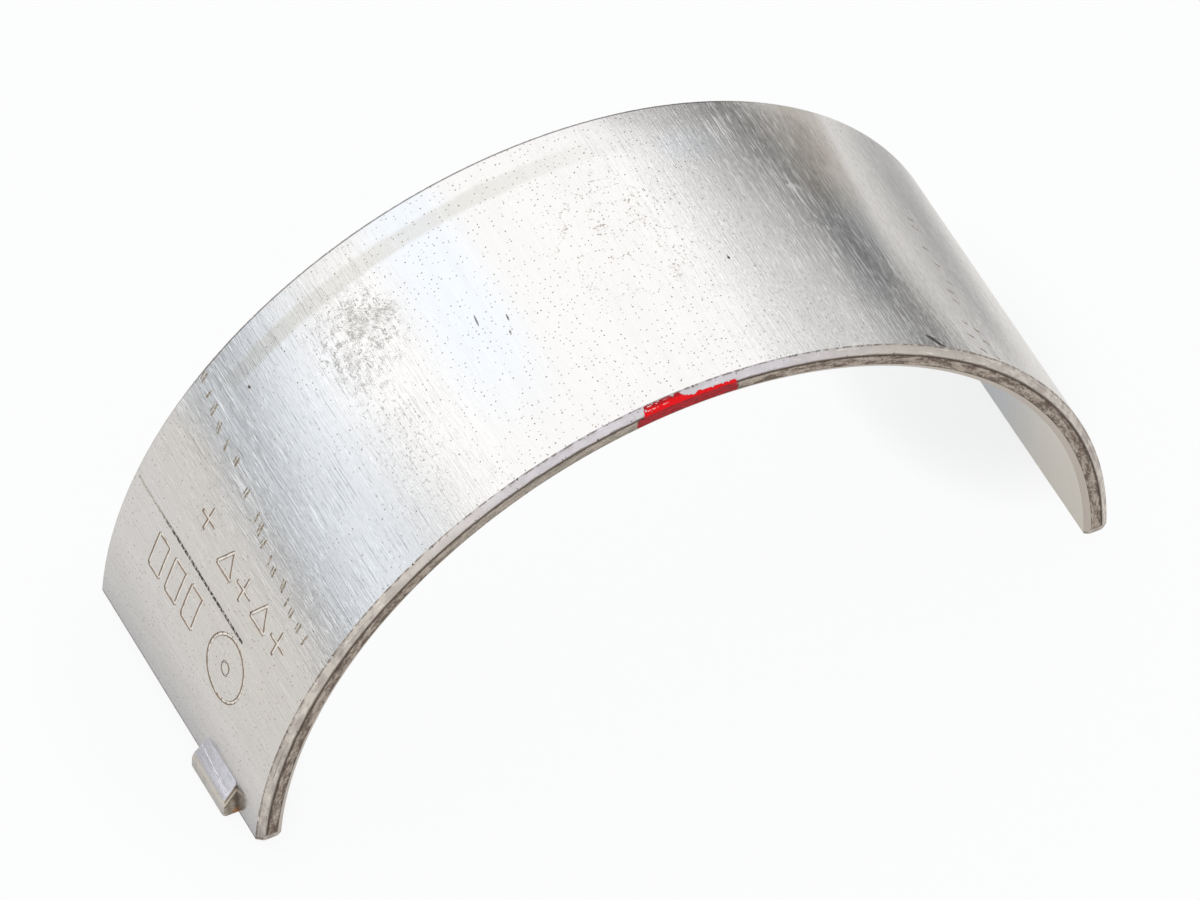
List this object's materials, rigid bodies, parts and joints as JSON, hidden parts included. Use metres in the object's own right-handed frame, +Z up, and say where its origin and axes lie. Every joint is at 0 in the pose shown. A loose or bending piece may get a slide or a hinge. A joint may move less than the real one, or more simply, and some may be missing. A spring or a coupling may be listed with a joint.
{
  "type": "engine bearing shell",
  "caption": "Half-round plated steel bearing shell with chamfered sides and a pressed locating tang, for lining one half of a connecting rod's big end around a crankshaft journal.",
  "frame": {"origin": "on the bore's axis in the free state, at the middle of the shell's width; the joint faces lie 0.92 mm above it, because the free shell is a little less than a half circle", "axes": "+Z up through the crown of the arch, +Y along the bore's axis away from the side with the colour mark, -X towards the joint face with the locating tang"},
  "size_m": [0.053, 0.0199, 0.0252],
  "materials": {
    "plated_shell": "bright tin flash plating over a brushed steel back, with a dull sheared side face",
    "colour_mark": "thin glossy red marking paint"
  },
  "bodies": {
    "root": {"bearing_shell": "plated_shell", "colour_code_mark": "colour_mark"}
  },
  "joints": []
}
